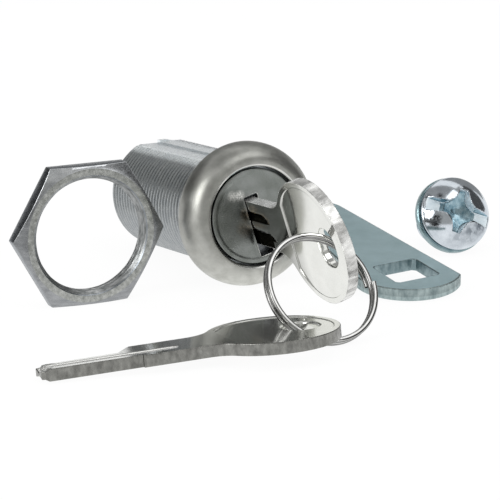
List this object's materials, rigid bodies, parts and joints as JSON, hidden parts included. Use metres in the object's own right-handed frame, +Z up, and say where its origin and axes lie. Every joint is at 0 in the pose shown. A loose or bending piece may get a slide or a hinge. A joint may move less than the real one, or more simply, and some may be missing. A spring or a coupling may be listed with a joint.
{
  "type": "cylinder lock",
  "caption": "Cam lock kit laid out: threaded cylinder lock with domed bezel and keyed plug, keys on a split ring, hex nut, cam plate and cam screw.",
  "frame": {"origin": "middle of the laid-out kit's footprint, on the table", "axes": "+Z up from the table; the lock's face and the keys point towards -Y, the nut is at -X and the cam and screw at +X"},
  "size_m": [0.0802, 0.0932, 0.0241],
  "materials": {
    "barrel_zinc": "satin zinc plate",
    "bezel_steel": "fine satin",
    "face_steel": "bright",
    "cam_zinc": "dull zinc plate",
    "wafer_brass": "blanked",
    "spring_steel": "drawn wire",
    "key_nickel": "bright nickel plate",
    "ring_nickel": "polished",
    "nut_steel": "satin nickel plate",
    "screw_zinc": "bright blue-white zinc plate"
  },
  "bodies": {
    "housing": {"barrel": "barrel_zinc", "bezel_cap": "bezel_steel"},
    "plug_body": {"plug": "barrel_zinc", "plug_cap": "face_steel", "plug_clip": "spring_steel", "stop_plate": "cam_zinc", "wafer_spring_1": "spring_steel", "wafer_spring_2": "spring_steel", "wafer_spring_3": "spring_steel", "wafer_spring_4": "spring_steel", "wafer_spring_5": "spring_steel"},
    "wafer_1": {"wafer_1": "wafer_brass"},
    "wafer_2": {"wafer_2": "wafer_brass"},
    "wafer_3": {"wafer_3": "wafer_brass"},
    "wafer_4": {"wafer_4": "wafer_brass"},
    "wafer_5": {"wafer_5": "wafer_brass"},
    "key_1": {"key_1": "key_nickel"},
    "split_ring": {"split_ring": "ring_nickel"},
    "key_2": {"key_2": "key_nickel"},
    "nut": {"nut": "nut_steel"},
    "cam": {"cam": "cam_zinc"},
    "cam_screw": {"cam_screw": "screw_zinc"},
    "lock_washer": {"lock_washer": "screw_zinc"}
  },
  "joints": [
    {"name": "plug_turn", "type": "hinge", "parent": "housing", "child": "plug_body", "pos_m": [-0.00263, 0.01295, 0.01201], "axis": [-0.4546, 0.8872, -0.0794], "range_deg": [0, 90]},
    {"name": "key_slide", "type": "slide", "parent": "plug_body", "child": "key_1", "axis": [0.4546, -0.8872, 0.0794], "range_m": [0, 0.03]},
    {"name": "wafer_1_rise", "type": "slide", "parent": "plug_body", "child": "wafer_1", "axis": [-0.2801, -0.0578, 0.9582], "range_m": [0, 0.0009], "stiffness_N_per_m": 30, "springref_m": 0.003, "deforming": ["wafer_spring_1"]},
    {"name": "wafer_2_rise", "type": "slide", "parent": "plug_body", "child": "wafer_2", "axis": [-0.2801, -0.0578, 0.9582], "range_m": [0, 0.0009], "stiffness_N_per_m": 30, "springref_m": 0.003, "deforming": ["wafer_spring_2"]},
    {"name": "wafer_3_rise", "type": "slide", "parent": "plug_body", "child": "wafer_3", "axis": [-0.2801, -0.0578, 0.9582], "range_m": [0, 0.0009], "stiffness_N_per_m": 30, "springref_m": 0.003, "deforming": ["wafer_spring_3"]},
    {"name": "wafer_4_rise", "type": "slide", "parent": "plug_body", "child": "wafer_4", "axis": [-0.2801, -0.0578, 0.9582], "range_m": [0, 0.0009], "stiffness_N_per_m": 30, "springref_m": 0.003, "deforming": ["wafer_spring_4"]},
    {"name": "wafer_5_rise", "type": "slide", "parent": "plug_body", "child": "wafer_5", "axis": [-0.2801, -0.0578, 0.9582], "range_m": [0, 0.0009], "stiffness_N_per_m": 30, "springref_m": 0.003, "deforming": ["wafer_spring_5"]},
    {"name": "ring_swing", "type": "hinge", "parent": "key_1", "child": "split_ring", "pos_m": [0.01163, -0.01439, 0.01366], "axis": [-0.8805, -0.1159, 0.4597], "range_deg": [-40, 8]},
    {"name": "key_2_swing", "type": "hinge", "parent": "split_ring", "child": "key_2", "pos_m": [0.00546, -0.02714, 0.00291], "axis": [0.8036, -0.043, -0.5937], "range_deg": [-40, 8]},
    {"name": "nut_lift", "type": "slide", "parent": "housing", "child": "nut", "axis": [0, 0, 1], "range_m": [0, 0.03]},
    {"name": "cam_lift", "type": "slide", "parent": "housing", "child": "cam", "axis": [0, 0, 1], "range_m": [0, 0.03]},
    {"name": "screw_lift", "type": "slide", "parent": "housing", "child": "cam_screw", "axis": [0, 0, 1], "range_m": [0, 0.03]},
    {"name": "washer_slide", "type": "slide", "parent": "cam_screw", "child": "lock_washer", "axis": [-0.3418, 0.8459, -0.4095], "range_m": [0, 0.006]}
  ],
  "couplings": [
    {"joint": "wafer_1_rise", "follows": "key_slide", "ratio": 0.03},
    {"joint": "wafer_2_rise", "follows": "key_slide", "ratio": 0.03},
    {"joint": "wafer_3_rise", "follows": "key_slide", "ratio": 0.03},
    {"joint": "wafer_4_rise", "follows": "key_slide", "ratio": 0.03},
    {"joint": "wafer_5_rise", "follows": "key_slide", "ratio": 0.03}
  ]
}
